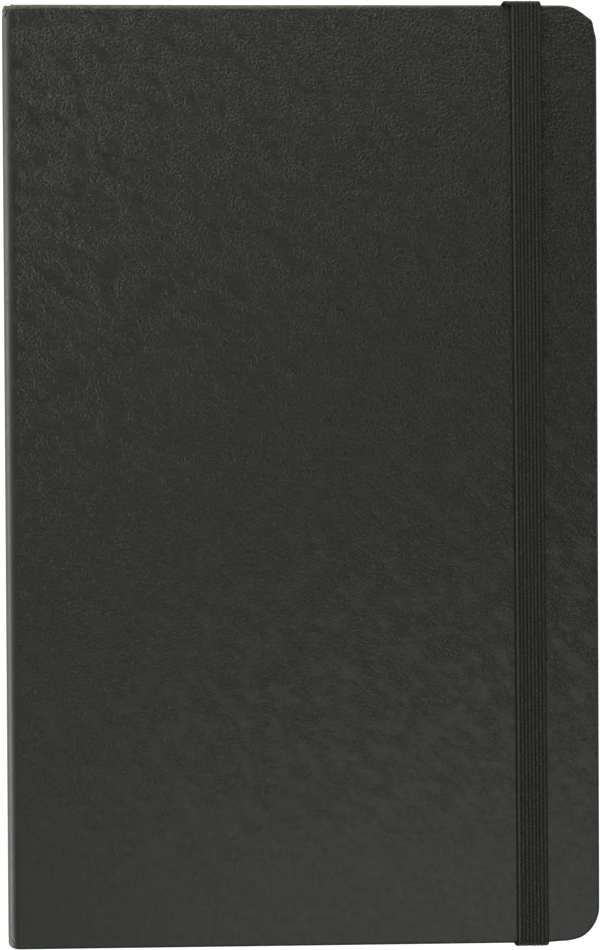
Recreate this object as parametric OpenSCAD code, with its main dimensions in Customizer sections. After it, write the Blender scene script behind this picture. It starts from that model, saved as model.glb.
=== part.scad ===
// Pocket notebook, hard covers, sewn block, elastic closure. Closed, lying on its back cover.
// Millimetres. +X runs from the spine to the fore-edge, +Y from the tail to the head,
// +Z from the back cover to the front cover. The origin is at the bottom centre of the closed book.

/* [Covers] */
// Width of the closed book, spine to fore-edge
cover_w = 90; // [80:0.5:105]
// Height of the covers, tail to head
cover_h = 142.5; // [125:0.5:150]
// Thickness of the closed book without its elastic
book_t = 13.5; // [13:0.1:16]
// Thickness of each cover board
board_t = 1.7; // [1.5:0.1:1.9]
// Thickness of the leatherette covering
skin_t = 0.3; // [0.25:0.01:0.35]
// Thickness of the covering where it is turned in over the board
turn_t = 0.25; // [0.2:0.01:0.3]
// How far the covering is turned in
turn_w = 12; // [8:0.5:15]
// Rounding of the two fore-edge corners
corner_r = 5.5; // [4:0.5:8]

/* [Spine] */
// Radius of the covering round each spine edge, and height of each fold axis above its face
spine_r = 2.0; // [1.9:0.05:2.1]
// Thickness of the card strip in the spine
strip_t = 0.8; // [0.5:0.1:1]
// Thickness of the mull glued over the folds of the block
mull_t = 0.4; // [0.3:0.05:0.5]

/* [Pages] */
// How far the pages stand back from the edges of the covers
square_w = 3; // [2:0.25:4]
// Thickness of an endpaper leaf
leaf_t = 0.12; // [0.1:0.01:0.15]
// Thickness of a pastedown where it lies over the turn-ins
paste_t = 0.15; // [0.1:0.01:0.2]

/* [Pocket] */
// Thickness of the folded pocket in the back cover
pocket_t = 0.9; // [0.8:0.05:1.2]
// Thickness of the pocket's card panel
pocket_card_t = 0.3; // [0.2:0.05:0.4]
// Width of each folded cloth gusset
gusset_w = 6; // [4:0.5:9]

/* [Elastic] */
// Width of the elastic where it is stretched over the cover
band_w = 4.5; // [4:0.1:7]
// Width of its ends, which are slack
leg_w = 5.4; // [4:0.1:8]
// Thickness of the elastic band
band_t = 0.6; // [0.6:0.02:0.9]
// Distance from the fore-edge to the middle of the band
band_in = 10.55; // [9:0.05:20]
// Thickness of the glued end of the band, pressed flat
tab_t = 0.55; // [0.4:0.05:0.6]
// Length of the glued end of the band
tab_l = 15.7; // [10:0.1:25]

/* [Hidden] */
$fn = 64;
half_n = 6;                                 // sewn signatures in each half of the block, one node each
x_spine = -cover_w / 2;
x_fore = cover_w / 2;
half_h = cover_h / 2;
fold_x = x_spine + spine_r;                 // both fold axes of the case stand here
z_back_fold = spine_r;
z_front_fold = book_t - spine_r;
z_board_top = skin_t + board_t;             // inner face of the back board
z_turn_top = z_board_top + turn_t;
z_paste_top = z_turn_top + paste_t;
z_fly = z_paste_top + pocket_t;             // under the rear flyleaf
z_front_paste = book_t - z_paste_top;       // under the front pastedown
z_block = z_fly + leaf_t;                   // under the first signature
z_block_top = z_front_paste - leaf_t;
sig_t = (z_block_top - z_block) / (2 * half_n);
z_mid = z_block + half_n * sig_t;           // where the block opens in the middle
x_block = x_spine + 3.4;                    // folds of the signatures
x_page = x_fore - square_w;
page_half = half_h - square_w;
page_r = corner_r - 0.8;
band_x = x_fore - band_in;
leg_x = band_x - 0.3;                       // the ends sit a little nearer the spine than the run
leg_top = book_t - 0.5;
tab_z = z_turn_top - tab_t;
kettle_y = 64;                              // stations where one signature is tied to the next
thread_r = 0.11;
e = 0.01;

leatherette = [0.20, 0.20, 0.19];
greyboard = [0.55, 0.53, 0.50];
ivory = [0.93, 0.91, 0.84];
buff = [0.90, 0.88, 0.80];
cloth_black = [0.12, 0.12, 0.12];
mull_white = [0.86, 0.85, 0.80];

// A sheet's outline: straight at the spine side, two rounded corners at the fore-edge.
module outline(x0, x1, h, r) {
  translate([x0, -h]) square([x1 - x0 - r, 2 * h]);
  translate([x1 - r - e, -(h - r)]) square([r + e, 2 * (h - r)]);
  for (s = [-1, 1]) translate([x1 - r, s * (h - r)]) circle(r);
}

module sheet(x0, x1, h, r, z0, z1) {
  translate([0, 0, z0]) linear_extrude(z1 - z0) outline(x0, x1, h, r);
}

// Turns a piece of the back cover into its twin in the front cover.
module to_front() { translate([0, 0, book_t]) mirror([0, 0, 1]) children(); }

// Room for the elastic's glued ends, at the head and at the tail.
module tab_room(z1) {
  for (s = [-1, 1])
    translate([leg_x - leg_w / 2 - 0.1, s > 0 ? half_h - tab_l - 0.2 : -half_h - 1, tab_z - 0.05])
      cube([leg_w + 0.2, tab_l + 1.2, z1 - tab_z + 0.05]);
}

module board() {
  color(greyboard) sheet(fold_x + 0.4, x_fore - skin_t, half_h - skin_t, corner_r - skin_t, skin_t, z_board_top);
}

// Covering of one cover: the face, the turned edges, and the turn-ins on three sides.
module covering() {
  color(leatherette) difference() {
    sheet(fold_x, x_fore, half_h, corner_r, 0, z_turn_top);
    sheet(fold_x - 1, x_fore - skin_t, half_h - skin_t, corner_r - skin_t, skin_t, z_board_top);
    sheet(fold_x - 1, x_fore - turn_w, half_h - turn_w, 1, z_board_top - e, z_turn_top + 1);
  }
}

module pastedown() {
  color(buff) {
    sheet(fold_x + 1, x_page, half_h - square_w, page_r, z_turn_top, z_paste_top);
    sheet(fold_x + 1, x_fore - turn_w, half_h - turn_w, 1, z_board_top, z_turn_top + e);
  }
}

module back_board() { difference() { board(); color(greyboard) tab_room(z_board_top + 1); } }
module back_cover_leatherette() { difference() { covering(); color(leatherette) tab_room(z_turn_top + 1); } }
module back_pastedown() { difference() { pastedown(); color(buff) tab_room(z_turn_top); } }
module front_board() { to_front() board(); }
module front_cover_leatherette() { to_front() covering(); }
module front_pastedown() { to_front() pastedown(); }

// Card panel of the pocket, folded down to the pastedown along the fore-edge and glued there.
module pocket_panel() {
  color(buff) {
    sheet(fold_x + 5, x_page - 0.5, page_half - 0.7, page_r, z_fly - pocket_card_t, z_fly);
    translate([x_page - 1.1, -(page_half - page_r - 1), z_paste_top])
      cube([0.6, 2 * (page_half - page_r - 1), pocket_t]);
  }
}

// Cloth bellows, folded flat between the panel and the pastedown. s is +1 at the head, -1 at the tail.
module gusset(s) {
  color(cloth_black)
    translate([fold_x + 6, s > 0 ? page_half - 1 - gusset_w : -(page_half - 1), z_paste_top])
      cube([x_page - page_r - fold_x - 7, gusset_w, pocket_t - pocket_card_t]);
}
module pocket_head_gusset() { gusset(1); }
module pocket_tail_gusset() { gusset(-1); }

module flyleaf() { color(buff) sheet(x_block, x_page, page_half, page_r, z_fly, z_block); }
module rear_flyleaf() { flyleaf(); }
module front_flyleaf() { color(buff) sheet(x_block, x_page, page_half, page_r, z_block_top, z_front_paste); }

// One folded and sewn gathering of eight leaves. A channel in its fold holds the thread, and two
// notches hold the kettle stitches. i counts from the back of the book.
module signature(i) {
  z0 = z_block + (i - 1) * sig_t;
  color(ivory) difference() {
    sheet(x_block, x_page, page_half, page_r, z0, z0 + sig_t);
    translate([x_block - 1, -kettle_y - 0.3, z0 + sig_t / 2 - 0.13]) cube([1.3, 2 * kettle_y + 0.6, 0.26]);
    for (s = [-1, 1]) translate([x_block - 1, s * kettle_y - 0.15, z0 - 1]) cube([1.3, 0.3, sig_t + 2]);
  }
}

// The thread of one half of the block: a run in each fold, tied to the next at both kettle stations.
module thread(first, last) {
  x = x_block + 0.15;
  za = z_block + (first - 0.5) * sig_t;
  zb = z_block + (last - 0.5) * sig_t;
  color(mull_white) {
    for (i = [first:last])
      translate([x, -kettle_y - 0.1, z_block + (i - 0.5) * sig_t]) rotate([-90, 0, 0])
        cylinder(r = thread_r, h = 2 * kettle_y + 0.2, $fn = 16);
    for (s = [-1, 1]) translate([x, s * kettle_y, za]) cylinder(r = thread_r, h = zb - za, $fn = 16);
  }
}
module rear_sewing_thread() { thread(1, half_n); }
module front_sewing_thread() { thread(half_n + 1, 2 * half_n); }

// Open-weave cloth glued over the folds, one length for each half of the block.
module mull(z0, z1) {
  color(mull_white) translate([x_block - mull_t, -(page_half - 2), z0]) cube([mull_t, 2 * (page_half - 2), z1 - z0]);
}
module rear_spine_mull() { mull(z_block, z_mid); }
module front_spine_mull() { mull(z_mid, z_block_top); }

module spine_card_strip() {
  color(greyboard) translate([x_spine + skin_t, -(half_h - skin_t), z_back_fold])
    cube([strip_t, 2 * (half_h - skin_t), z_front_fold - z_back_fold]);
}

// Covering over the spine strip, turned in over its head and tail ends.
module spine_leatherette() {
  x_in = x_spine + skin_t + strip_t;
  color(leatherette) difference() {
    translate([x_spine, -half_h, z_back_fold])
      cube([skin_t + strip_t + turn_t, 2 * half_h, z_front_fold - z_back_fold]);
    translate([x_spine + skin_t, -(half_h - skin_t), z_back_fold - 1])
      cube([strip_t, 2 * (half_h - skin_t), book_t]);
    translate([x_in - e, -(half_h - turn_w), z_back_fold - 1]) cube([5, 2 * (half_h - turn_w), book_t]);
  }
}

// The covering where it rolls round a spine edge: a quarter tube about the fold axis. It bends as the cover opens.
module joint_roll() {
  color(leatherette) translate([fold_x, half_h, z_back_fold]) rotate([90, 0, 0])
    linear_extrude(2 * half_h) difference() {
      intersection() { circle(spine_r); translate([-2 * spine_r, -2 * spine_r]) square(2 * spine_r); }
      circle(spine_r - skin_t);
    }
}
module back_joint_leatherette() { joint_roll(); }
module front_joint_leatherette() { to_front() joint_roll(); }

// The stretch of elastic over the front cover, with its bends over the head and tail edges.
module elastic_front_run() {
  color(cloth_black) translate([band_x - band_w / 2, 0, 0]) {
    translate([0, -half_h, book_t]) cube([band_w, 2 * half_h, band_t]);
    for (s = [0, 1]) mirror([0, s, 0]) {
      translate([0, half_h, book_t]) rotate([90, 0, 90]) linear_extrude(band_w)
        intersection() { circle(band_t); square(band_t); }
      translate([0, half_h, leg_top]) cube([band_w, band_t, book_t - leg_top + e]);
    }
  }
}

// One end of the elastic: up the edge of the book, and a flat tab glued under the back pastedown.
module elastic_end() {
  color(cloth_black) translate([leg_x - leg_w / 2, 0, 0]) {
    translate([0, half_h, tab_z]) cube([leg_w, band_t, leg_top - tab_z]);
    translate([0, half_h - tab_l, tab_z]) cube([leg_w, tab_l + e, tab_t]);
  }
}
module elastic_head_end() { elastic_end(); }
module elastic_tail_end() { mirror([0, 1, 0]) elastic_end(); }

back_board();
back_cover_leatherette();
back_pastedown();
pocket_panel();
pocket_head_gusset();
pocket_tail_gusset();
rear_flyleaf();
signature(1);  // signature_01
signature(2);  // signature_02
signature(3);  // signature_03
signature(4);  // signature_04
signature(5);  // signature_05
signature(6);  // signature_06
rear_spine_mull();
rear_sewing_thread();
back_joint_leatherette();
spine_card_strip();
spine_leatherette();
front_joint_leatherette();
front_board();
front_cover_leatherette();
front_pastedown();
front_flyleaf();
signature(7);  // signature_07
signature(8);  // signature_08
signature(9);  // signature_09
signature(10);  // signature_10
signature(11);  // signature_11
signature(12);  // signature_12
front_spine_mull();
front_sewing_thread();
elastic_front_run();
elastic_head_end();
elastic_tail_end();
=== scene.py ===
import math

import bpy
import bmesh
import numpy as np
from mathutils import Matrix, Vector


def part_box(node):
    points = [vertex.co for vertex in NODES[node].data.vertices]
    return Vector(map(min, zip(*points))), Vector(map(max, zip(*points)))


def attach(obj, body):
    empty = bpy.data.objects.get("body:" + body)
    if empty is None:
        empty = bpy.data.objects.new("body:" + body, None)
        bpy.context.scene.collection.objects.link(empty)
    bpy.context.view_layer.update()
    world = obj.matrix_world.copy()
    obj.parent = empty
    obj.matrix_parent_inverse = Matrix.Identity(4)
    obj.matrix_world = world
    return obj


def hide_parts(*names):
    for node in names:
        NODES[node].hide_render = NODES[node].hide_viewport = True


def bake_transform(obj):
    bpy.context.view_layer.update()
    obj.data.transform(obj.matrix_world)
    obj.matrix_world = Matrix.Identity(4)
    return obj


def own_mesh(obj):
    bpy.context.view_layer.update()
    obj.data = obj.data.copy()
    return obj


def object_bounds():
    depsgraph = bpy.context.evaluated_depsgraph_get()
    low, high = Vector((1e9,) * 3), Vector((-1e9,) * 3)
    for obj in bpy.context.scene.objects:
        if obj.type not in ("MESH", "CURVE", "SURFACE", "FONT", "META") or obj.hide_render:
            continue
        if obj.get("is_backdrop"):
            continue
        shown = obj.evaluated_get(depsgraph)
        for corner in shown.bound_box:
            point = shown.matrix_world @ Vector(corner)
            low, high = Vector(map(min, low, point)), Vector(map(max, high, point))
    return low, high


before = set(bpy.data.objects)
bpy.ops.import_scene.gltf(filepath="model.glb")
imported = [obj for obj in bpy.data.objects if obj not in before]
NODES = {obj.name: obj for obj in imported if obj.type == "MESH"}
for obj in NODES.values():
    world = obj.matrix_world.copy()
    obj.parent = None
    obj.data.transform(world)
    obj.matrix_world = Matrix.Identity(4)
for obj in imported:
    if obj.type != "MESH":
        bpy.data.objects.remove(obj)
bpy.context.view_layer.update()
MM = 0.001
rng = np.random.default_rng(20261)

# ---------------------------------------------------------------- sizes, read from the frame (mm)


def mm_box(node):
    lo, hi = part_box(node)
    return np.array(lo) / MM, np.array(hi) / MM


_lo, _hi = mm_box("back_cover_leatherette")
X1, HALF = float(_hi[0]), float(_hi[1])          # fore-edge and head edge of the covers
FOLD_X, T_COVER = float(_lo[0]), float(_hi[2])    # fold axes, thickness of a cover with its turn-ins
X0 = float(mm_box("spine_leatherette")[0][0])
BOOK = float(mm_box("front_cover_leatherette")[1][2])
R_SPINE = FOLD_X - X0
R_CORNER = 5.5
Z_MID_CASE = BOOK / 2
T_SPINE = float(mm_box("spine_leatherette")[1][0]) - X0

# ---------------------------------------------------------------- camera first
# A long lens straight above the closed book, a little towards its spine, fitted to its four corners.
cam_data = bpy.data.cameras.new("camera")
cam = bpy.data.objects.new("camera", cam_data)
bpy.context.scene.collection.objects.link(cam)
cam_data.lens = 60.0
cam_data.sensor_width = 36.0
cam_data.sensor_fit = "AUTO"
cam_data.clip_start = 0.01
cam_data.clip_end = 10.0
rv = Vector([math.radians(a) for a in (-0.559, -1.522, -0.316)])
cam.rotation_mode = "QUATERNION"
cam.rotation_quaternion = Matrix.Rotation(rv.length, 3, rv.normalized()).to_quaternion()
cam.location = Vector((-6.69, 2.57, 252.65)) * MM
bpy.context.scene.camera = cam

# ---------------------------------------------------------------- node material helpers


class Mat:
    """A small builder for a Principled material with procedural detail."""

    def __init__(self, name, color, roughness, metallic=0.0, ior_level=0.5, sheen=0.0, sheen_rough=0.5):
        self.m = bpy.data.materials.new(name)
        self.m.use_nodes = True
        self.t = self.m.node_tree
        self.p = self.t.nodes["Principled BSDF"]
        self.p.inputs["Base Color"].default_value = (*color, 1)
        self.p.inputs["Roughness"].default_value = roughness
        self.p.inputs["Metallic"].default_value = metallic
        self.p.inputs["Specular IOR Level"].default_value = ior_level
        self.p.inputs["Sheen Weight"].default_value = sheen
        self.p.inputs["Sheen Roughness"].default_value = sheen_rough

    def node(self, kind, **props):
        n = self.t.nodes.new(kind)
        for k, v in props.items():
            setattr(n, k, v)
        return n

    def link(self, a, b):
        self.t.links.new(a, b)

    def put(self, sock, value):
        if isinstance(value, bpy.types.NodeSocket):
            self.link(value, sock)
        else:
            sock.default_value = value

    def coord(self, which="Object"):
        return self.node("ShaderNodeTexCoord").outputs[which]

    def uv(self, name="mm"):
        return self.node("ShaderNodeUVMap", uv_map=name).outputs["UV"]

    def mapping(self, vec, loc=(0, 0, 0), rot=(0, 0, 0), scale=(1, 1, 1)):
        n = self.node("ShaderNodeMapping")
        self.link(vec, n.inputs["Vector"])
        n.inputs["Location"].default_value = loc
        n.inputs["Rotation"].default_value = rot
        n.inputs["Scale"].default_value = scale
        return n.outputs["Vector"]

    def noise(self, vec, scale, detail=2.0, rough=0.5, distortion=0.0, out="Fac", dims="3D"):
        n = self.node("ShaderNodeTexNoise", noise_dimensions=dims)
        self.link(vec, n.inputs["Vector"])
        n.inputs["Scale"].default_value = scale
        n.inputs["Detail"].default_value = detail
        n.inputs["Roughness"].default_value = rough
        n.inputs["Distortion"].default_value = distortion
        return n.outputs[out]

    def voronoi(self, vec, scale, feature="F1", out="Distance", randomness=1.0, smooth=None, dims="3D"):
        n = self.node("ShaderNodeTexVoronoi", feature=feature, voronoi_dimensions=dims)
        self.link(vec, n.inputs["Vector"])
        n.inputs["Scale"].default_value = scale
        n.inputs["Randomness"].default_value = randomness
        if smooth is not None and feature == "SMOOTH_F1":
            n.inputs["Smoothness"].default_value = smooth
        return n.outputs[out]

    def math(self, op, a, b=0.0, c=None, clamp=False):
        n = self.node("ShaderNodeMath", operation=op, use_clamp=clamp)
        self.put(n.inputs[0], a)
        self.put(n.inputs[1], b)
        if c is not None:
            self.put(n.inputs[2], c)
        return n.outputs[0]

    def vmath(self, op, a, b=(0, 0, 0)):
        n = self.node("ShaderNodeVectorMath", operation=op)
        self.put(n.inputs[0], a)
        self.put(n.inputs[1], b)
        return n.outputs[0]

    def ramp(self, fac, stops, interp="LINEAR"):
        n = self.node("ShaderNodeValToRGB")
        n.color_ramp.interpolation = interp
        e = n.color_ramp.elements
        while len(e) < len(stops):
            e.new(0.5)
        for el, (pos, val) in zip(e, stops):
            el.position = pos
            el.color = (val, val, val, 1) if not isinstance(val, tuple) else (*val, 1)
        self.link(fac, n.inputs["Fac"])
        return n.outputs["Color"]

    def range(self, v, a, b, c, d, clamp=True):
        n = self.node("ShaderNodeMapRange", clamp=clamp)
        self.put(n.inputs["Value"], v)
        for k, x in zip(("From Min", "From Max", "To Min", "To Max"), (a, b, c, d)):
            n.inputs[k].default_value = x
        return n.outputs["Result"]

    def mix(self, fac, a, b, kind="RGBA", blend="MIX"):
        n = self.node("ShaderNodeMix", data_type=kind, blend_type=blend) if kind == "RGBA" else self.node("ShaderNodeMix", data_type=kind)
        ins = [i for i in n.inputs if i.enabled]
        self.put(ins[0], fac)
        self.put(ins[1], (*a, 1) if isinstance(a, tuple) and kind == "RGBA" else a)
        self.put(ins[2], (*b, 1) if isinstance(b, tuple) and kind == "RGBA" else b)
        return [o for o in n.outputs if o.enabled][0]

    def separate(self, vec):
        n = self.node("ShaderNodeSeparateXYZ")
        self.link(vec, n.inputs[0])
        return n.outputs

    def bump(self, height, strength=1.0, distance=0.0001, normal=None):
        n = self.node("ShaderNodeBump")
        n.inputs["Strength"].default_value = strength
        n.inputs["Distance"].default_value = distance
        self.link(height, n.inputs["Height"])
        if normal is not None:
            self.link(normal, n.inputs["Normal"])
        return n.outputs["Normal"]


def leather_material(name, tail_grain, head_grain, head_highlight_strength=0.0):
    """Near-black leatherette: pebbles under a millimetre across, longer along one diagonal, creases between them, smoother
    patches here and there, worn edges. The grain is deeper at the head than at the tail by the two figures."""
    m = Mat(name, (0.0110, 0.0110, 0.0097), 0.45, ior_level=0.40)
    uv = m.uv()
    # wander the pattern a little so that the pebbles are not on a grid
    warp = m.vmath("SUBTRACT", m.noise(uv, 0.7, 2.0, 0.5, out="Color"), (0.5, 0.5, 0.5))
    sc = m.node("ShaderNodeVectorMath", operation="SCALE")
    m.link(warp, sc.inputs[0])
    sc.inputs["Scale"].default_value = 1.1
    warped = m.vmath("ADD", uv, sc.outputs[0])
    turned = m.mapping(m.mapping(warped, scale=(1.0, 1.06, 1.0)), rot=(0, 0, math.radians(-45)))
    diag = m.mapping(turned, scale=(0.92, 1.06, 1.0))
    pebble = m.voronoi(diag, 1.72, "SMOOTH_F1", smooth=0.25, dims="2D")
    crease = m.voronoi(diag, 1.72, "DISTANCE_TO_EDGE", dims="2D")
    fine = m.voronoi(m.mapping(turned, scale=(0.8, 1.1, 1), rot=(0, 0, 0.4)), 3.7, "SMOOTH_F1", smooth=0.3, dims="2D")
    pores = m.noise(uv, 5.0, 2.0, 0.6)
    broad = m.noise(uv, 0.11, 3.0, 0.55)
    dome = m.range(pebble, 0.0, 0.62, 1.0, 0.0)
    cut = m.range(crease, 0.0, 0.13, 0.0, 1.0)
    h = m.math("MULTIPLY_ADD", dome, 0.55, m.math("MULTIPLY", cut, 0.30))
    h = m.math("MULTIPLY_ADD", m.range(fine, 0.0, 0.6, 1.0, 0.0), 0.26, h)
    h = m.math("MULTIPLY_ADD", pores, 0.20, h)
    u, v, _ = m.separate(uv)
    fade = m.math("MULTIPLY_ADD", m.math("POWER", m.range(v, -68.0, 64.0, 0.0, 1.0), 0.95), head_grain - tail_grain, tail_grain)
    patch = m.range(m.noise(m.mapping(turned, scale=(0.7, 1.2, 1)), 0.36, 2.0, 0.5), 0.36, 0.58, 0.38, 1.0)
    pulled = m.range(u, -0.7, 0.5, 1.0, 0.12)      # drawn smooth where it is pulled round the spine's edge
    depth = m.math("MULTIPLY", m.math("MULTIPLY", fade, patch), pulled)
    h = m.math("MULTIPLY", h, depth)
    n1 = m.bump(h, 1.0, 0.000225)
    wave = m.noise(uv, 0.06, 1.0, 0.4)
    n2 = m.bump(wave, 0.35, 0.0002, n1)
    m.link(n2, m.p.inputs["Normal"])
    # colour: broad mottling, faint brown-green cast in places, and painted shade that darkens the creases
    base = m.mix(m.range(broad, 0.3, 0.7, 0.0, 1.0), (0.0098, 0.0100, 0.0088), (0.0128, 0.0125, 0.0109))
    # painted shade: the creases between the pebbles are darkened, more where the grain is deep
    base = m.mix(m.math("MULTIPLY", m.range(cut, 0.0, 1.0, 0.8, 0.0), depth), base, (0.004, 0.004, 0.0037))
    # wear along edges, where the covering is stretched over the board
    geo = m.node("ShaderNodeNewGeometry")
    edge = m.range(geo.outputs["Pointiness"], 0.505, 0.56, 0.0, 1.0)
    edge = m.math("MULTIPLY", edge, m.range(m.noise(uv, 1.3, 3.0, 0.6), 0.35, 0.7, 0.2, 1.0))
    base = m.mix(m.math("MULTIPLY", edge, 0.5), base, (0.036, 0.036, 0.030))
    # painted highlight: a pale, slightly yellow line along the head edge, stronger towards the spine, standing in for
    # the light the edge's rounding reflects
    head_edge_highlight = m.math("MULTIPLY", m.range(v, 70.30, 70.62, 0.0, 1.0), m.range(u, -74.0, -40.0, 0.08, 1.0))
    head_edge_highlight = m.math("MULTIPLY", head_edge_highlight, m.range(v, 71.8, 72.5, 1.0, 0.0))
    head_edge_highlight = m.math("MULTIPLY", head_edge_highlight, m.range(m.noise(uv, 0.8, 2.0, 0.5), 0.3, 0.7, 0.65, 1.0))
    base = m.mix(m.math("MULTIPLY", head_edge_highlight, head_highlight_strength), base, (0.078, 0.080, 0.050))
    m.link(base, m.p.inputs["Base Color"])
    rough = m.range(m.noise(uv, 0.9, 3.0, 0.6), 0.3, 0.7, 0.40, 0.50)
    rough = m.mix(m.math("MULTIPLY", edge, 0.6), rough, 0.34, kind="FLOAT")
    m.link(rough, m.p.inputs["Roughness"])
    return m.m


def elastic_material():
    m = Mat("elastic_webbing", (0.020, 0.020, 0.018), 0.62, ior_level=0.20, sheen=0.10, sheen_rough=0.4)
    uv = m.uv()
    x, y, _ = m.separate(uv)
    fibre = m.noise(m.mapping(uv, scale=(7.0, 1.9, 1)), 1.0, 3.0, 0.6, dims="2D")
    tuft = m.noise(m.mapping(uv, scale=(1.0, 1.0, 1)), 3.6, 2.0, 0.6, dims="2D")
    h = m.math("MULTIPLY_ADD", fibre, 0.5, m.math("MULTIPLY", tuft, 0.8))
    m.link(m.bump(h, 1.0, 0.00011), m.p.inputs["Normal"])
    # painted shade: the grooves between the ribs are darkened in colour; the rib number is the whole part of the first
    # coordinate
    turn = m.math("MULTIPLY_ADD", m.math("ROUND", x), 2.3, m.math("MULTIPLY_ADD", m.noise(uv, 0.8, 2.0, 0.6), 9.0, m.math("MULTIPLY", y, 2 * math.pi / 0.46)))
    beat = m.math("SINE", turn)
    shift = m.math("MULTIPLY_ADD", beat, 0.09, x)
    groove = m.math("ABSOLUTE", m.math("SUBTRACT", m.math("FRACT", shift), 0.5))
    dark = m.range(groove, 0.25, 0.42, 0.0, 1.0)
    patchy = m.range(m.noise(m.mapping(uv, scale=(0.6, 0.25, 1)), 1.0, 2.0, 0.5), 0.35, 0.62, 0.70, 1.0)
    dark = m.math("MULTIPLY", dark, m.math("MULTIPLY", patchy, m.range(beat, -1.0, 0.4, 0.50, 1.0)))
    base = m.mix(m.range(tuft, 0.3, 0.7, 0, 1), (0.015, 0.015, 0.0138), (0.062, 0.062, 0.056))
    other = m.math("SINE", m.math("MULTIPLY_ADD", m.math("FLOOR", x), 1.9, turn))
    base = m.mix(m.range(other, -0.2, 1.0, 0.0, 0.62), base, (0.008, 0.008, 0.0075))
    # painted shade in the grooves, varying along the beads and in patches
    base = m.mix(m.math("MULTIPLY", dark, 0.97), base, (0.0022, 0.0022, 0.0021))
    # painted shadow: the flat strips outside the ribs, chiefly the left one, are darkened to stand for the contact
    # shadow beside the band
    painted_edge_shadow = m.math("MAXIMUM", m.range(x, -0.04, 0.14, 1.0, 0.0), m.range(x, 7.90, 8.06, 0.0, 0.6))
    base = m.mix(painted_edge_shadow, base, (0.0025, 0.0025, 0.0024))
    m.link(base, m.p.inputs["Base Color"])
    m.link(m.mix(m.math("MAXIMUM", dark, painted_edge_shadow), 0.58, 0.97, kind="FLOAT"), m.p.inputs["Roughness"])
    return m.m


def paper_material(name, color, ruled=False, tone=0.03):
    m = Mat(name, color, 0.86, ior_level=0.25)
    co = m.coord("Object")
    fibre = m.noise(m.mapping(co, scale=(1, 1, 1)), 2600.0, 3.0, 0.6)
    cloud = m.noise(co, 120.0, 3.0, 0.55)
    m.link(m.bump(m.math("MULTIPLY_ADD", fibre, 0.7, m.math("MULTIPLY", cloud, 0.3)), 0.35, 0.00002), m.p.inputs["Normal"])
    lo = tuple(c * (1 - tone) for c in color)
    hi = tuple(min(1.0, c * (1 + tone)) for c in color)
    base = m.mix(cloud, lo, hi)
    if ruled:
        x, y, _ = m.separate(co)
        t = m.math("FRACT", m.math("DIVIDE", m.math("ADD", y, 0.0568), 0.006))
        line = m.math("LESS_THAN", m.math("ABSOLUTE", m.math("SUBTRACT", t, 0.5)), 0.016)
        inside = m.math("MULTIPLY", m.math("LESS_THAN", y, 0.0555), m.math("GREATER_THAN", y, -0.0625))
        ink = m.math("MULTIPLY", m.math("MULTIPLY", line, inside), m.range(m.noise(co, 5000.0, 1.0), 0.3, 0.7, 0.5, 0.8))
        base = m.mix(ink, base, (0.30, 0.31, 0.33))
    m.link(base, m.p.inputs["Base Color"])
    return m.m


def board_material():
    m = Mat("greyboard", (0.27, 0.25, 0.22), 0.9, ior_level=0.2)
    co = m.coord("Object")
    speck = m.noise(co, 1800.0, 4.0, 0.65)
    flake = m.voronoi(m.mapping(co, scale=(1, 0.4, 1)), 900.0)
    base = m.mix(m.range(speck, 0.3, 0.7, 0, 1), (0.20, 0.185, 0.16), (0.34, 0.32, 0.28))
    base = m.mix(m.math("MULTIPLY", m.range(flake, 0.0, 0.15, 1, 0), 0.5), base, (0.42, 0.40, 0.36))
    m.link(base, m.p.inputs["Base Color"])
    m.link(m.bump(speck, 0.6, 0.00005), m.p.inputs["Normal"])
    return m.m


def cloth_material(name, dark, light, pitch=0.0005, rough=0.85):
    """Plain weave: warp and weft cross over and under at the given pitch, in metres."""
    m = Mat(name, light, rough, ior_level=0.25, sheen=0.15)
    co = m.coord("Object")
    x, y, z = m.separate(co)
    u = m.math("ADD", x, z)
    k = 2 * math.pi / pitch
    a = m.math("SINE", m.math("MULTIPLY", u, k))
    b = m.math("SINE", m.math("MULTIPLY", y, k))
    weave = m.math("MULTIPLY", a, b)
    fuzz = m.noise(co, 5000.0, 2.0, 0.6)
    h = m.math("MULTIPLY_ADD", weave, 0.35, m.math("MULTIPLY", fuzz, 0.4))
    m.link(m.bump(h, 0.8, 0.00006), m.p.inputs["Normal"])
    m.link(m.mix(m.range(m.math("ADD", weave, fuzz), -0.6, 1.4, 0, 1), dark, light), m.p.inputs["Base Color"])
    return m.m


def thread_material():
    m = Mat("linen_thread", (0.74, 0.71, 0.62), 0.7, ior_level=0.3)
    co = m.coord("Object")
    x, y, z = m.separate(co)
    twist = m.math("SINE", m.math("MULTIPLY", m.math("ADD", m.math("ADD", y, z), m.math("MULTIPLY", x, 2.0)), 2 * math.pi / 0.00035))
    m.link(m.bump(twist, 0.7, 0.00004), m.p.inputs["Normal"])
    m.link(m.mix(m.range(twist, -1, 1, 0, 1), (0.60, 0.57, 0.48), (0.80, 0.77, 0.68)), m.p.inputs["Base Color"])
    return m.m


LEATHER = leather_material("leatherette", 0.55, 0.75)
# the front copy carries the painted highlight along its head edge; the back copy has none
LEATHER_FRONT = leather_material("leatherette_front", 0.06, 1.0, 1.0)
ELASTIC = elastic_material()
PAPER = paper_material("writing_paper", (0.80, 0.755, 0.625))
RULED = paper_material("ruled_paper", (0.80, 0.755, 0.625), ruled=True)
ENDPAPER = paper_material("endpaper", (0.74, 0.69, 0.56), tone=0.02)
CARD = paper_material("pocket_card", (0.72, 0.67, 0.54), tone=0.02)
BOARD = board_material()
GUSSET = cloth_material("black_book_cloth", (0.010, 0.010, 0.010), (0.030, 0.030, 0.029))
MULL = cloth_material("mull_cloth", (0.50, 0.47, 0.38), (0.78, 0.75, 0.66), 0.0008)
THREAD = thread_material()

# ---------------------------------------------------------------- mesh helpers


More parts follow.
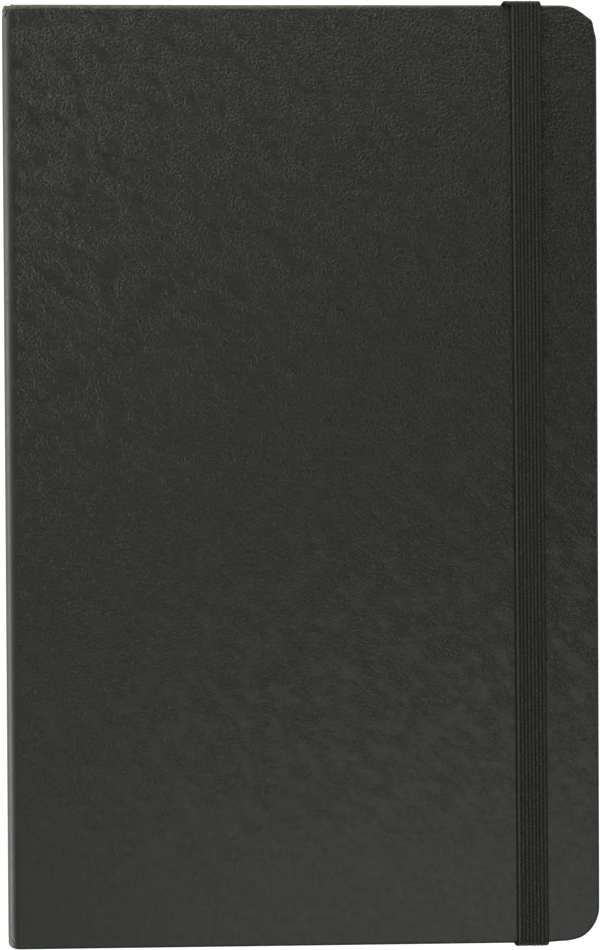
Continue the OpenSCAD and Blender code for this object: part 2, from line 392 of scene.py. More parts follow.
def make_object(name, verts_mm, faces, uvs=None, smooth=True, materials=(), face_mats=None):
    """verts in mm, faces as index lists, uvs as one (u, v) per vertex, in mm."""
    me = bpy.data.meshes.new(name)
    me.from_pydata((np.asarray(verts_mm, float) * MM).tolist(), [], [list(map(int, f)) for f in faces])
    if uvs is not None:
        layer = me.uv_layers.new(name="mm")
        idx = np.zeros(len(me.loops), int)
        me.loops.foreach_get("vertex_index", idx)
        layer.data.foreach_set("uv", np.asarray(uvs, float)[idx].astype(np.float32).ravel())
    for mt in materials:
        me.materials.append(mt)
    if face_mats is not None:
        me.polygons.foreach_set("material_index", np.asarray(face_mats, int))
    me.polygons.foreach_set("use_smooth", np.full(len(me.polygons), bool(smooth)))
    me.update()
    ob = bpy.data.objects.new(name, me)
    bpy.context.scene.collection.objects.link(ob)
    return ob


def clean(ob, merge=1e-7, recalc=True):
    bm = bmesh.new()
    bm.from_mesh(ob.data)
    bmesh.ops.remove_doubles(bm, verts=bm.verts, dist=merge)
    bmesh.ops.dissolve_degenerate(bm, edges=bm.edges, dist=merge)
    if recalc:
        bmesh.ops.recalc_face_normals(bm, faces=bm.faces)
    bm.to_mesh(ob.data)
    bm.free()
    ob.data.update()


def apply_modifiers(ob):
    bpy.context.view_layer.update()
    dg = bpy.context.evaluated_depsgraph_get()
    new = bpy.data.meshes.new_from_object(ob.evaluated_get(dg), preserve_all_data_layers=True, depsgraph=dg)
    old = ob.data
    ob.modifiers.clear()
    ob.data = new
    bpy.data.meshes.remove(old)
    return ob


def solidify(ob, thickness, offset=-1.0):
    s = ob.modifiers.new("thick", "SOLIDIFY")
    s.thickness = thickness * MM
    s.offset = offset
    s.use_even_offset = False
    s.use_rim = True
    return apply_modifiers(ob)


def quad_strip(rows):
    """Faces that join equal rows of vertex numbers."""
    f = []
    for a, b in zip(rows[:-1], rows[1:]):
        for i in range(len(a) - 1):
            f.append((a[i], a[i + 1], b[i + 1], b[i]))
    return f


def smoothstep(t):
    t = np.clip(t, 0, 1)
    return t * t * (3 - 2 * t)


LATTICE = {}


def value_noise(x, y, seed, scale):
    """Smooth repeatable noise in -1..1 from a seeded lattice."""
    if seed not in LATTICE:
        LATTICE[seed] = np.random.default_rng(seed).uniform(-1, 1, (64, 64))
    g = LATTICE[seed]
    u, v = np.asarray(x) / scale + 500.0, np.asarray(y) / scale + 500.0
    i, j = np.floor(u).astype(int), np.floor(v).astype(int)
    fu, fv = smoothstep(u - i), smoothstep(v - j)
    p = lambda a, b: g[a % 64, b % 64]
    return (p(i, j) * (1 - fu) + p(i + 1, j) * fu) * (1 - fv) + (p(i, j + 1) * (1 - fu) + p(i + 1, j + 1) * fu) * fv


# ---------------------------------------------------------------- the covering of the case

R_E = 0.46      # rounding of the covering over a board's outer edge
R_I = 0.32      # and over its inner edge
TURN = 12.0


def case_half(name, front):
    """One half of the case's covering as a thin closed sheet: cover face, rolled edges, turn-ins with pleated corners,
    the roll round the spine edge, and half of the spine. Built as the back half; the front is its mirror image."""
    h, x1, r = HALF, X1, R_CORNER
    hb, xb, rb = h - R_E, x1 - R_E, r - R_E
    # rows, tail to head: close together in the corners
    n_c = 36
    phi = np.linspace(0, math.pi / 2, n_c + 1)
    mid = np.linspace(-(hb - rb), hb - rb, 120)
    up = hb - rb + rb * np.sin(phi[1:])
    ys = np.concatenate([-up[::-1], mid, up])
    xmax = np.concatenate([(xb - rb + rb * np.cos(phi[1:]))[::-1], np.full(len(mid), xb), xb - rb + rb * np.cos(phi[1:])])
    # columns: panel (u from 1 at the fore-edge to 0 at the fold), roll, spine
    u = np.concatenate([np.linspace(1, 0.05, 84), np.linspace(0.05, 0, 33)[1:]])
    alpha = np.radians(np.linspace(0, 90, 23)[1:])
    zs = np.linspace(R_SPINE, Z_MID_CASE, 7)[1:]
    cols = []          # (kind, value)
    cols += [("p", v) for v in u] + [("a", v) for v in alpha] + [("s", v) for v in zs]
    nc, nr = len(cols), len(ys)
    XI = X0 + T_SPINE                         # inner face of the turned-in spine
    ci = (XI + 1.0, T_COVER + 1.0)            # centre of the inside corner, radius 1

    def out_in(kind, v, xm):
        """Outer point, inner point and path length for a column, in x and z."""
        if kind == "p":
            x = FOLD_X + v * (xm - FOLD_X)
            xi = x if x > -39.5 else -39.5 + (x + 39.5) * (ci[0] + 39.5) / (FOLD_X + 39.5)
            return (x, 0.0), (xi, T_COVER), FOLD_X - x
        if kind == "a":
            o = (FOLD_X - R_SPINE * math.sin(v), R_SPINE - R_SPINE * math.cos(v))
            i = (ci[0] - math.sin(v), ci[1] - math.cos(v))
            return o, i, R_SPINE * v
        o = (X0, v)
        i = (XI, ci[1] + (v - R_SPINE) * (Z_MID_CASE - ci[1]) / (Z_MID_CASE - R_SPINE))
        return o, i, R_SPINE * math.pi / 2 + v - R_SPINE

    verts, uvs = [], []

    def add(x, y, z, s, v=None):
        verts.append((x, y, z))
        uvs.append((s, y if v is None else v))
        return len(verts) - 1

    # how far the head and tail of the spine are drawn in, which rounds the spine's corners
    def draw_in(kind, v):
        if kind == "p":
            return 0.0
        if kind == "a":
            return 0.62 * (1 - math.cos(v)) ** 1.5
        return 0.62

    grid = np.zeros((nr, nc), int)
    for k in range(nr):
        for j, (kind, v) in enumerate(cols):
            (x, z), _, s = out_in(kind, v, xmax[k])
            di = draw_in(kind, v)
            y = ys[k] * (1 - di / hb)
            grid[k, j] = add(x, y, z, s)
    faces = quad_strip([list(grid[k]) for k in range(nr)])

    # the outline, tail side from the spine to the fore-edge, up the fore-edge, and back along the head
    outline = []
    for j in range(nc - 1, 0, -1):
        outline.append((0, j, "t"))
    for k in range(nr):
        outline.append((k, 0, "f"))
    for j in range(1, nc):
        outline.append((nr - 1, j, "h"))
    lines = []
    t1 = np.radians(np.linspace(0, 90, 6)[1:])
    for th in t1:
        lines.append((R_E * (1 - math.sin(th)), ("out", R_E * (1 - math.cos(th)))))
    lines.append((0.0, ("mid", 0.5)))
    flat = T_COVER - R_E - R_I
    gone = [R_E * float(th) for th in t1] + [R_E * math.pi / 2 + flat / 2]
    gone += [R_E * math.pi / 2 + flat + R_I * float(th) for th in np.radians(np.linspace(0, 90, 5))]
    for th in np.radians(np.linspace(0, 90, 5)):
        lines.append((R_I * (1 - math.cos(th)), ("in", R_I * (1 - math.sin(th)))))
    for d in (0.7, 1.1, 1.6, 2.1, 2.7, 3.3, 4.2, 5.4, 8.0, TURN):
        lines.append((d, ("in", 0.0)))
        gone.append(R_E * math.pi / 2 + flat + R_I * math.pi / 2 + d - R_I)
    prev = [grid[k, j] for k, j, _ in outline]
    pleat_at = np.radians(np.array([9, 22, 34, 45, 57, 69, 81]) + rng.uniform(-2.5, 2.5, 7))
    run = 0.0
    for (d, (mode, t)), far in zip(lines, gone):
        row = []
        for k, j, side in outline:
            kind, v = cols[j]
            (x, z), (xi, zi), s = out_in(kind, v, xmax[k])
            L = math.hypot(xi - x, zi - z)
            a = t / L if mode == "out" else (0.5 if mode == "mid" else 1 - t / L)
            px, pz = x + (xi - x) * a, z + (zi - z) * a
            di = draw_in(kind, v)
            sg = 1.0 if ys[k] > 0 else -1.0
            if side == "f":
                if abs(ys[k]) > hb - rb + 1e-9:
                    ang = math.acos(np.clip((xmax[k] - (xb - rb)) / rb, -1, 1))
                    if d < r:
                        px = x1 - r + (r - d) * math.cos(ang)
                        py = sg * (h - r + (r - d) * math.sin(ang))
                        if mode == "in" and d > 0.5:
                            g = sum(math.exp(-(((ang - q) / 0.035) ** 2)) for q in pleat_at)
                            pz -= 0.16 * g * float(smoothstep((d - 0.3) / 0.8)) * (1 - 0.5 * float(smoothstep((d - 3.5) / 2)))
                    else:
                        px, py = x1 - d, sg * (h - d)
                else:
                    px = x1 - d
                    py = ys[k] if d <= r else float(np.clip(ys[k], -(h - d), h - d))
            else:
                py = sg * (h - d - di)
                if kind == "p" and d > r:
                    px = min(px, x1 - d)
            # the grain runs on over the edges: the length gone over them goes into the coordinates
            y0 = ys[k] * (1 - di / hb)
            if side != "f":
                row.append(add(px, py, pz, s, y0 + sg * far))
            else:
                over = math.acos(np.clip((xmax[k] - (xb - rb)) / rb, -1, 1)) if abs(ys[k]) > hb - rb + 1e-9 else 0.0
                row.append(add(px, py, pz, s - far * math.cos(over), y0 + sg * far * math.sin(over)))
        faces += quad_strip([prev, row])
        prev = row

    V = np.array(verts)
    if front:
        V[:, 2] = BOOK - V[:, 2]
        x, y, z = V.T
        # the leatherette is not dead flat: it lies in slow waves of a few hundredths of a millimetre
        top = z > BOOK - 0.02
        V[top, 2] += (0.006 * value_noise(x, y, 11, 9.0) * smoothstep((X1 - 2 - x) / 6))[top]
        # a soft shoulder along the head, wider beside the spine, where the covering is folded over itself
        near = z > BOOK - 1.2
        w = 0.80 + 0.20 * np.exp(-np.maximum(x - FOLD_X, 0) / 1.9) - 0.24 * smoothstep((x + 12) / 26) - 0.14 * smoothstep((x - 16) / 12)
        t = np.clip((y - (HALF - w)) / w, 0, 1)
        V[near, 2] -= (0.50 * w * t ** 1.03 * smoothstep((x - X0 + 0.2) / 1.4))[near]
        # the head corner at the fore-edge has a slight angle where two pleats of the turn-in meet
        cx, cy = X1 - R_CORNER, HALF - R_CORNER
        rad, ang = np.hypot(x - cx, y - cy), np.degrees(np.arctan2(y - cy, x - cx))
        push = 0.24 * np.exp(-((ang - 33.0) / 7.0) ** 2) - 0.09 * np.exp(-((ang - 14.0) / 7.0) ** 2) - 0.07 * np.exp(-((ang - 58.0) / 12.0) ** 2)
        k = 1 + push / R_CORNER * smoothstep((rad - 2.0) / 3.0) * ((x > cx) & (y > cy))
        V[:, 0], V[:, 1] = np.where(k != 1, cx + (x - cx) * k, V[:, 0]), np.where(k != 1, cy + (y - cy) * k, V[:, 1])
        low = smoothstep((-y - HALF + 4.5) / 4.0)
        V[:, 1] += 0.20 * low * smoothstep((x - 36.2) / 3.4) * smoothstep((43.0 - x) / 2.4)
    ob = make_object(name, V, faces, np.array(uvs), True, [LEATHER])
    clean(ob, 2e-6)
    # make sure that the sheet grows inwards: the face's outward normal points away from the book
    bm = bmesh.new()
    bm.from_mesh(ob.data)
    bm.faces.ensure_lookup_table()
    c = min(bm.faces, key=lambda f: (f.calc_center_median() - Vector((0, 0, BOOK * MM if front else 0))).length)
    want = 1 if front else -1
    if c.normal.z * want < 0:
        bmesh.ops.reverse_faces(bm, faces=bm.faces)
        bm.to_mesh(ob.data)
    bm.free()
    if front:
        # creases round the corners of the spine, where the covering is gathered
        bm = bmesh.new()
        bm.from_mesh(ob.data)
        def by_corner(v):
            vx, vy, vz = v.co.x / MM, v.co.y / MM, v.co.z / MM
            return vz > BOOK - 3.2 and vx < FOLD_X + 3.4 and abs(vy) > HALF - 3.6
        bmesh.ops.subdivide_edges(bm, edges=[e for e in bm.edges if by_corner(e.verts[0]) and by_corner(e.verts[1])], cuts=3, use_grid_fill=True)
        bm.to_mesh(ob.data)
        bm.free()
        n = len(ob.data.vertices)
        co, no = np.zeros(n * 3), np.zeros(n * 3)
        ob.data.vertices.foreach_get("co", co)
        ob.data.vertex_normals.foreach_get("vector", no)
        co, no = co.reshape(-1, 3) / MM, no.reshape(-1, 3)
        for sg, amp in ((1, 0.064), (-1, 0.02)):
            cx, cy = FOLD_X + 0.15, sg * (HALF - 2.15)
            dx, dy = co[:, 0] - cx, (co[:, 1] - cy) * sg
            rad, ang = np.hypot(dx, dy), np.degrees(np.arctan2(dy, -dx))
            win = smoothstep((ang + 4) / 18) * smoothstep((80 - ang) / 20) * smoothstep((rad - 0.9) / 0.5) * (co[:, 2] > BOOK - 2.6)
            wob = 0.10 * np.sin(ang / 11.0) + 0.004 * (ang - 50)
            co += no * (0.85 * amp * win * (np.sin(2 * math.pi * (rad + wob) / 0.48) - 0.9))[:, None]
            # two narrow folds run from the corner along the head
            if sg > 0:
                for y0, slope, ph in ((0.52, -0.060, 0.05), (1.00, -0.19, 0.07)):
                    line = HALF - y0 - slope * (co[:, 0] - FOLD_X)
                    along = smoothstep((co[:, 0] - FOLD_X + 0.1) / 0.6) * smoothstep((FOLD_X + 2.9 - co[:, 0]) / 1.2)
                    d = (co[:, 1] - line) / 0.15
                    co += no * (ph * along * (np.exp(-d * d) - 0.5 * np.exp(-((d + 1.5) ** 2))) * (co[:, 2] > BOOK - 1.0))[:, None]
        ob.data.vertices.foreach_set("co", (co * MM).ravel())
        ob.data.update()
    solidify(ob, 0.2)
    for p in ob.data.polygons:
        p.use_smooth = True
    ob.data.set_sharp_from_angle(angle=math.radians(62))
    return ob


back_case = case_half("case_leatherette_back", False)
front_case = case_half("case_leatherette_front", True)
for ob, mat in ((back_case, LEATHER), (front_case, LEATHER_FRONT)):
    ob.data.materials.clear()
    ob.data.materials.append(mat)
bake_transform(back_case)
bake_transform(front_case)
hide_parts("back_cover_leatherette", "back_joint_leatherette", "spine_leatherette")
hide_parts("front_cover_leatherette", "front_joint_leatherette")

# ---------------------------------------------------------------- pages: folded sheets, four to a signature

PAGE_X = float(mm_box("signature_01")[1][0])
BLOCK_X = float(mm_box("signature_01")[0][0])
PAGE_H = float(mm_box("signature_01")[1][1])
PAGE_R = 4.7
LEAF = 0.071


def folded_sheet(name_seed, z_mid_sig, half_gap, block_seed):
    """One folded sheet: two leaves and the bend at the spine, as a closed thin solid. Returns vertices, faces and which
    faces are page faces. half_gap is the height of the leaf's middle above the fold of the signature."""
    g = np.random.default_rng(name_seed)
    trim = g.normal(0, 0.018, 4)              # the guillotine never leaves two sheets quite the same
    n_c = 9
    phi = np.linspace(0, math.pi / 2, n_c + 1)
    up = PAGE_H - PAGE_R + PAGE_R * np.sin(phi[1:])
    ys = np.concatenate([-up[::-1], np.linspace(-(PAGE_H - PAGE_R), PAGE_H - PAGE_R, 9), up])
    xm = np.concatenate([(PAGE_X - PAGE_R + PAGE_R * np.cos(phi[1:]))[::-1], np.full(9, PAGE_X), PAGE_X - PAGE_R + PAGE_R * np.cos(phi[1:])])
    t = LEAF / 2
    bend = half_gap
    cx = BLOCK_X + 0.315                      # centre of the bend
    us = [1.0, 0.75, 0.5, 0.25, 0.1, 0.04, 0.0]
    th = np.radians(np.linspace(90, 270, 9))[1:-1]

    def profile(off, k):
        """Points along the sheet at row k, off to one side of its middle: lower leaf, bend, upper leaf."""
        pts = []
        e1, e2 = xm[k] + trim[0], xm[k] + trim[1]
        rr = max(bend + off, 0.004)
        for q in us:
            pts.append((cx + q * (e1 - cx), -rr))
        for a in th:
            pts.append((cx + rr * 1.0 * math.cos(a), -rr * math.sin(a)))
        for q in us[::-1]:
            pts.append((cx + q * (e2 - cx), rr))
        return pts

    V, F, M = [], [], []
    nr = len(ys)
    n = len(us) * 2 + len(th)
    for k in range(nr):
        yk = ys[k] + (trim[2] if ys[k] > 0 else trim[3])
        outer = profile(t, k)
        inner = profile(-t, k)
        for x, z in outer + inner[::-1]:
            V.append((x, yk, z_mid_sig + z))
    ring = 2 * n
    for k in range(nr - 1):
        for i in range(ring):
            j = (i + 1) % ring
            F.append((k * ring + i, k * ring + j, (k + 1) * ring + j, (k + 1) * ring + i))
            on_face = (i % n) not in (n - 1,)
            leaf = on_face and not (len(us) - 1 <= (i if i < n else ring - 2 - i) < len(us) + len(th))
            M.append(1 if leaf else 0)
    for k in (0, nr - 1):
        for i in range(n - 1):
            a, b = k * ring + i, k * ring + i + 1
            c, d = k * ring + ring - 2 - i, k * ring + ring - 1 - i
            F.append((a, b, c, d) if k == 0 else (d, c, b, a))
            M.append(0)
    return V, F, M


def signature(i):
    lo, hi = mm_box(f"signature_{i:02d}")
    zc, st = (lo[2] + hi[2]) / 2, hi[2] - lo[2]
    V, F, M = [], [], []
    pitch = st / 8
    for s in range(4):
        v, f, m = folded_sheet(1000 + 10 * i + s, zc, pitch * (s + 0.5), i)
        base = len(V)
        V += v
        F += [tuple(q + base for q in face) for face in f]
        M += m
    ob = make_object(f"signature_{i:02d}_leaves", V, F, None, False, [PAPER, RULED], M)
    clean(ob, 1e-8)
    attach(ob, "back_cover" if i <= 6 else "front_pages")
    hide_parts(f"signature_{i:02d}")
    return ob


for i in range(1, 13):
    signature(i)

# ---------------------------------------------------------------- the elastic

E_LO, E_HI = mm_box("elastic_front_run")
BAND_W = float(E_HI[0] - E_LO[0])
BAND_X = float(E_HI[0] + E_LO[0]) / 2
BAND_T = float(E_HI[2] - BOOK)
LEG_TOP = float(E_LO[2])
TAB_LO, TAB_HI = mm_box("elastic_head_end")
LEG_L, LEG_R = float(TAB_LO[0]), float(TAB_HI[0])
RIBS = 8
SELV_L, SELV_R = 0.36, 0.25      # flat selvedges outside the ribs, in rib widths


def band_section():
    """Across the band, left to right: (share of the width 0..1, height of the rib's crest 0..1, rounding of the side 0..1,
    rib coordinate)."""
    out = []
    for v in np.linspace(0, 1, RIBS * 9 + 1):
        rib = -SELV_L + v * (RIBS + SELV_L + SELV_R)
        crest = abs(math.sin(math.pi * rib)) ** 0.8 if 0 < rib < RIBS else 0.0
        side = min(v, 1 - v) * BAND_W
        edge = min(1.0, side / 0.24)
        out.append((v, crest, math.sqrt(max(0.0, 1 - (1 - edge) ** 2)), rib))
    return out


SECTION = np.array(band_section())
UNDER = np.array([1.0, 0.985, 0.9, 0.65, 0.35, 0.1, 0.015, 0.0])
RIB_PHASE = rng.uniform(0, 1, RIBS)
RIB_HEIGHT = rng.normal(0, 0.018, RIBS)
RIB_HEIGHT[0] += 0.02


def band(name, path):
    """A ribbed webbing along path. Each entry holds the position across as a function of the share v, the inner point (y, z),
    the outward normal (ny, nz), the length so far, the ribs' depth and the share of the full thickness."""
    v, crest, edge, rib = SECTION.T
    k = np.clip(np.floor(rib).astype(int), 0, RIBS - 1)
    V, UV, F = [], [], []
    for x_of_v, (y, z), (ny, nz), s, ribs, thick in path:
        wander = np.array([0.75 * value_noise(s, i * 3.7, 40 + i, 2.3) + 0.30 * value_noise(s, i, 70 + i, 0.7) for i in range(RIBS)])
        lump = np.array([0.5 + 0.5 * value_noise(s, i * 5.1, 90 + i, 0.75) for i in range(RIBS)])
        bead = 0.5 + 0.5 * np.sin(2 * math.pi * (s / 0.60 + (RIB_PHASE + wander)[k]))
        t = BAND_T * thick * (0.36 + 0.64 * edge)
        t = t - ribs * (0.230 * (1 - crest) + 0.105 * (1 - bead) * crest * edge + 0.095 * (1 - lump[k]) * edge)
        t = t + RIB_HEIGHT[k] * crest * edge * ribs
        V.append(np.stack([x_of_v(v), y + ny * t, z + nz * t], 1))
        UV.append(np.stack([rib, np.full(len(v), s)], 1))
        side = np.minimum(UNDER, 1 - UNDER) * BAND_W
        t = 0.16 * np.maximum(0.0, 1 - side / 0.3) + 0.050
        V.append(np.stack([x_of_v(UNDER), y + ny * t, z + nz * t], 1))
        UV.append(np.stack([-SELV_L + UNDER * (RIBS + SELV_L + SELV_R), np.full(len(UNDER), s)], 1))
    ring = len(v) + len(UNDER)
    for a in range(len(path) - 1):
        for i in range(ring):
            j = (i + 1) % ring
            F.append((a * ring + i, a * ring + j, (a + 1) * ring + j, (a + 1) * ring + i))
    F.append(tuple(range(ring)))
    F.append(tuple((len(path) - 1) * ring + i for i in range(ring))[::-1])
    ob = make_object(name, np.concatenate(V), F, np.concatenate(UV), True, [ELASTIC])
    clean(ob, 1e-8)
    return ob


def x_mid(y):
    return BAND_X - 0.0043 * y


def run_edge(y):
    """Left and right edge of the stretched run."""
    m = x_mid(float(np.clip(y, -HALF, HALF)))
    w = BAND_W * (1 - 0.02 * (1 - (y / HALF) ** 2)) / 2
    # the left edge reaches 0.20 mm further out to carry the strip painted as shadow
    return m - w - 0.20, m + w + 0.13


# where the slack ends leave the bends: they spread, and at the head the webbing is pulled askew towards the spine
LEG_TOPS = {1: (30.56, 36.43), -1: (32.02, 37.16)}


def spread(left, right, sign, k):
    """Position across the band as a function of its share v: the run's edges at k = 0, the slack end's at k = 1."""
    l1, r1 = LEG_TOPS[sign]
    dl, dr = (l1 - left) * k, (r1 - right) * k
    return lambda v: left + (right - left) * v + dl * (1 - v) ** 2.6 + dr * v ** 2.6


def run_path():
    pts = []
    rb = 0.30
    step = 0.14
    n_arc = 13
    arc = (rb + 0.5 * BAND_T) * math.pi / 2
    # up the tail edge, over, along the cover, over, down the head edge
    for z in np.arange(LEG_TOP, BOOK - rb, step):
        pts.append((-HALF, z, -1.0, 0.0, -1, 1.0))
    for a in np.radians(np.linspace(0, 90, n_arc)):
        pts.append((-(HALF - rb) - rb * math.cos(a), BOOK - rb + rb * math.sin(a), -math.cos(a), math.sin(a), -1, 1 - smoothstep((a / (math.pi / 2) - 0.80) / 0.20)))
    for y in np.arange(-(HALF - rb) + step, HALF - rb - step / 2, step):
        pts.append((y, BOOK, 0.0, 1.0, 1, 0.0))
    for a in np.radians(np.linspace(90, 0, n_arc)):
        pts.append(((HALF - rb) + rb * math.cos(a), BOOK - rb + rb * math.sin(a), math.cos(a), math.sin(a), 1, 1 - smoothstep((a / (math.pi / 2) - 0.80) / 0.20)))
    for z in np.arange(BOOK - rb - step, LEG_TOP - 0.01, -step):
        pts.append((HALF, z, 1.0, 0.0, 1, 1.0))
    out, last, s = [], None, 0.0
    for y, z, ny, nz, sign, k in pts:
        mid = (y + ny * 0.5 * BAND_T, z + nz * 0.5 * BAND_T)
        if last is not None:
            s += math.hypot(mid[0] - last[0], mid[1] - last[1])
        last = mid
        left, right = run_edge(y)
        near = 1 - smoothstep((HALF - abs(y)) / 2.2)
        thick = 1 - (0.24 if sign < 0 or y < 0 else 0.06) * float(near)
        out.append((spread(left, right, sign, float(k)), (y, z + (0.012 if nz > 0.99 else 0.0)), (ny, nz), s, 1.0 - 0.72 * float(k), thick))
    return out


elastic_run = band("elastic_webbing_front", run_path())
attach(elastic_run, "elastic")
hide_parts("elastic_front_run")


def leg_path(sign):
    """Down the edge from the end of the run, then in through the slit and flat under the pastedown."""
    pts = []
    step = 0.16
    z_slit = float(TAB_LO[2]) + float(TAB_HI[2] - TAB_HI[2]) + 0.55
    for z in np.arange(LEG_TOP + 0.05, z_slit, -step):
        pts.append((HALF, z, 1.0, 0.0))
    for a in np.radians(np.linspace(0, 90, 9)):
        pts.append((HALF - 0.02 + 0.02 * math.cos(a), z_slit - 0.02 * math.sin(a), math.cos(a), -math.sin(a)))
    for y in np.arange(HALF - 0.3, float(TAB_LO[1]), -0.8):
        pts.append((y, z_slit - 0.02, 0.0, -1.0))
    out, last, s = [], None, 0.0
    for y, z, ny, nz in pts:
        mid = (y + ny * 0.5 * BAND_T, z + nz * 0.5 * BAND_T)
        if last is not None:
            s += math.hypot(mid[0] - last[0], mid[1] - last[1])
        last = mid
        down = float(smoothstep((LEG_TOP - z) / (LEG_TOP - z_slit))) if ny > 0.5 else 1.0
        l0, r0 = LEG_TOPS[sign]
        left, right = l0 + (LEG_L - l0) * down, r0 + (LEG_R - r0) * down
        a, b = run_edge(sign * HALF)
        skew = spread(a, b, sign, 1.0)

        def x_of_v(v, left=left, right=right, down=down, skew=skew):
            return skew(v) * (1 - down) + (left + (right - left) * v) * down

        out.append((x_of_v, (sign * y, z), (sign * ny, nz), s, 0.28 if ny > 0.5 else 0.2, (0.76 if sign < 0 else 0.94) + (0.1 * down if ny > 0.5 else 0)))
    return out


elastic_head = band("elastic_webbing_head_end", leg_path(1))
elastic_tail = band("elastic_webbing_tail_end", leg_path(-1))
for ob, node in ((elastic_head, "elastic_head_end"), (elastic_tail, "elastic_tail_end")):
    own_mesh(ob)
    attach(ob, "back_cover")
    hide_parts(node)

# ---------------------------------------------------------------- pocket gussets, mull


def strip(name, path_yz, x0, x1, thick, material, closed_ends=True):
    """A sheet that follows path_yz (list of (y, z)), from x0 to x1, thick millimetres thick."""
    P = np.array(path_yz, float)
    T = np.gradient(P, axis=0)
    T /= np.linalg.norm(T, axis=1)[:, None]
    N = np.stack([-T[:, 1], T[:, 0]], 1)
    xs = np.linspace(x0, x1, 30)
    V, F = [], []
    n = len(P)
    for x in xs:
        for p, m in zip(P, N):
            V.append((x, p[0] + m[0] * thick / 2, p[1] + m[1] * thick / 2))
        for p, m in list(zip(P, N))[::-1]:
            V.append((x, p[0] - m[0] * thick / 2, p[1] - m[1] * thick / 2))
    ring = 2 * n
    for k in range(len(xs) - 1):
        for i in range(ring):
            j = (i + 1) % ring
            F.append((k * ring + i, k * ring + j, (k + 1) * ring + j, (k + 1) * ring + i))
    for k in (0, len(xs) - 1):
        for i in range(n - 1):
            a, b = k * ring + i, k * ring + i + 1
            c, d = k * ring + ring - 2 - i, k * ring + ring - 1 - i
            F.append((a, b, c, d) if k == 0 else (d, c, b, a))
    ob = make_object(name, V, F, None, True, [material])
    clean(ob, 1e-8)
    return ob


def gusset_path(lo, hi, sign):
    """Bellows: glued to the pastedown, out, back in, and out again under the panel."""
    y_in, y_out = (lo[1], hi[1]) if sign > 0 else (hi[1], lo[1])
    z0, z1 = lo[2] + 0.07, hi[2] - 0.07
    zm = (z0 + z1) / 2
    pts = []

    def seg(a, b, n):
        for t in np.linspace(0, 1, n):
            pts.append((a[0] + (b[0] - a[0]) * t, a[1] + (b[1] - a[1]) * t))

    r = (z1 - z0) / 4
    d = -sign
    seg((y_in, z0), (y_out + d * r, z0), 6)
    for a in np.radians(np.linspace(-90, 90, 9)[1:-1]):
        pts.append((y_out + d * r + sign * r * math.cos(a), z0 + r + r * math.sin(a)))
    seg((y_out + d * r, z0 + 2 * r), (y_in - d * r, z0 + 2 * r), 6)
    for a in np.radians(np.linspace(-90, 90, 9)[1:-1]):
        pts.append((y_in - d * r - sign * r * math.cos(a), z0 + 3 * r + r * math.sin(a)))
    seg((y_in - d * r, z1), (y_out, z1), 6)
    return pts


for node, sign in (("pocket_head_gusset", 1), ("pocket_tail_gusset", -1)):
    lo, hi = mm_box(node)
    ob = strip(node + "_cloth", gusset_path(lo, hi, sign), lo[0], hi[0], 0.12, GUSSET)
    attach(ob, "back_cover")
    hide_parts(node)

# ---------------------------------------------------------------- materials for the CAD nodes that stay

CAD_MATERIALS = {
    "back_board": BOARD, "front_board": BOARD, "spine_card_strip": BOARD,
    "back_pastedown": ENDPAPER, "front_pastedown": ENDPAPER, "rear_flyleaf": ENDPAPER, "front_flyleaf": ENDPAPER,
    "pocket_panel": CARD, "rear_spine_mull": MULL, "front_spine_mull": MULL,
    "rear_sewing_thread": THREAD, "front_sewing_thread": THREAD,
    "back_cover_leatherette": LEATHER, "front_cover_leatherette": LEATHER, "spine_leatherette": LEATHER,
    "back_joint_leatherette": LEATHER, "front_joint_leatherette": LEATHER,
    "pocket_head_gusset": GUSSET, "pocket_tail_gusset": GUSSET,
    "elastic_front_run": ELASTIC, "elastic_head_end": ELASTIC, "elastic_tail_end": ELASTIC,
}
for name, ob in NODES.items():
    mat = CAD_MATERIALS.get(name, PAPER)
    ob.data.materials.clear()
    ob.data.materials.append(mat)

# ---------------------------------------------------------------- floor and light


def floor():
    me = bpy.data.meshes.new("floor")
    s = 14.0
    me.from_pydata([(-s, -s, 0), (s, -s, 0), (s, s, 0), (-s, s, 0)], [], [(0, 1, 2, 3)])
    ob = bpy.data.objects.new("floor", me)
    bpy.context.scene.collection.objects.link(ob)
    m = bpy.data.materials.new("pale_floor")
    m.use_nodes = True
    p = m.node_tree.nodes["Principled BSDF"]
    p.inputs["Base Color"].default_value = (0.36, 0.36, 0.36, 1)
    p.inputs["Roughness"].default_value = 0.9
    p.inputs["Specular IOR Level"].default_value = 0.0
    p.inputs["Emission Color"].default_value = (1.0, 1.0, 0.99, 1)
    p.inputs["Emission Strength"].default_value = 0.93
    me.materials.append(m)
    ob.location.z = -0.00002
    ob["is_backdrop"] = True
    return ob


floor()


def area(name, loc, target, size, power, color=(1, 1, 1), size_y=None):
    d = bpy.data.lights.new(name, "AREA")
    d.shape = "RECTANGLE"
    d.size = size
    d.size_y = size_y or size
    d.energy = power
    d.color = color
    ob = bpy.data.objects.new(name, d)
    bpy.context.scene.collection.objects.link(ob)
    ob.location = loc
    ob.rotation_mode = "QUATERNION"
    ob.rotation_quaternion = (Vector(target) - Vector(loc)).to_track_quat("-Z", "Y")
    return ob


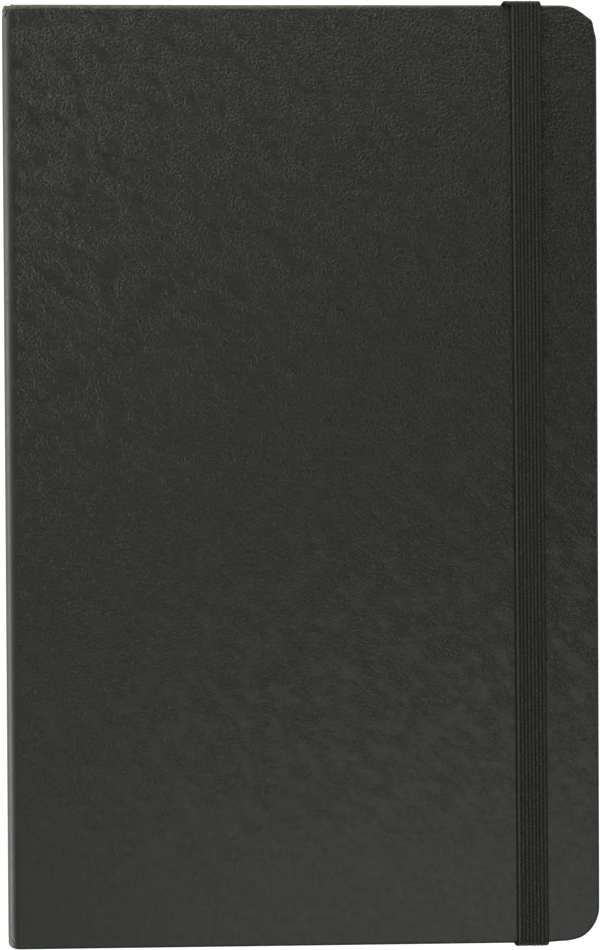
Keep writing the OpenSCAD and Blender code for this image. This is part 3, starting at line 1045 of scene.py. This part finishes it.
area("overhead", (0.105, -0.195, 0.62), (0, 0, 0), 0.55, 1.92, (1, 1, 0.985))
area("head_key", (0.04, 0.38, 0.23), (0, 0.03, 0.013), 0.26, 0.28, (1, 1, 0.94), size_y=0.16)
area("head_panel", (0, 0.60, 0.15), (0, 0, 0.15), 1.0, 2.4, (1, 1, 0.84), size_y=0.30)
area("left_low", (-0.60, -0.22, 0.07), (0, -0.22, 0.07), 0.66, 2.5, (1, 1, 0.93), size_y=0.14)
area("left_low_head", (-0.60, 0.33, 0.035), (0, 0.33, 0.035), 0.44, 0.84, (1, 1, 0.92), size_y=0.07)
area("left_foot", (-0.58, 0, 0.025), (0, 0, 0.025), 1.0, 1.7, (1, 1, 0.95), size_y=0.05)
area("left_panel", (-0.58, 0, 0.27), (0, 0, 0.20), 1.0, 1.0, (1, 1, 0.93), size_y=0.30)
area("left_fill", (-0.44, 0, 0.46), (0, 0, 0.013), 1.0, 0.30, (1, 1, 0.95), size_y=0.30)
area("right_fill", (0.46, -0.10, 0.44), (0, 0, 0.013), 0.9, 0.22, (1, 1, 0.98), size_y=0.25)
world = bpy.data.worlds.new("world")
bpy.context.scene.world = world
world.use_nodes = True
bg = world.node_tree.nodes["Background"]
bg.inputs["Color"].default_value = (1, 1, 1, 1)
bg.inputs["Strength"].default_value = 0.06
# the same pale backdrop above the floor as on it, without lighting the notebook
wt = world.node_tree
backdrop = wt.nodes.new("ShaderNodeBackground")
backdrop.inputs["Color"].default_value = (1.0, 1.0, 0.99, 1)
backdrop.inputs["Strength"].default_value = 0.97
seen = wt.nodes.new("ShaderNodeLightPath")
both = wt.nodes.new("ShaderNodeMixShader")
wt.links.new(seen.outputs["Is Camera Ray"], both.inputs[0])
wt.links.new(bg.outputs[0], both.inputs[1])
wt.links.new(backdrop.outputs[0], both.inputs[2])
wt.links.new(both.outputs[0], wt.nodes["World Output"].inputs["Surface"])
bpy.context.scene.view_settings.view_transform = "Standard"

# ---------------------------------------------------------------- finish
lo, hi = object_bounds()
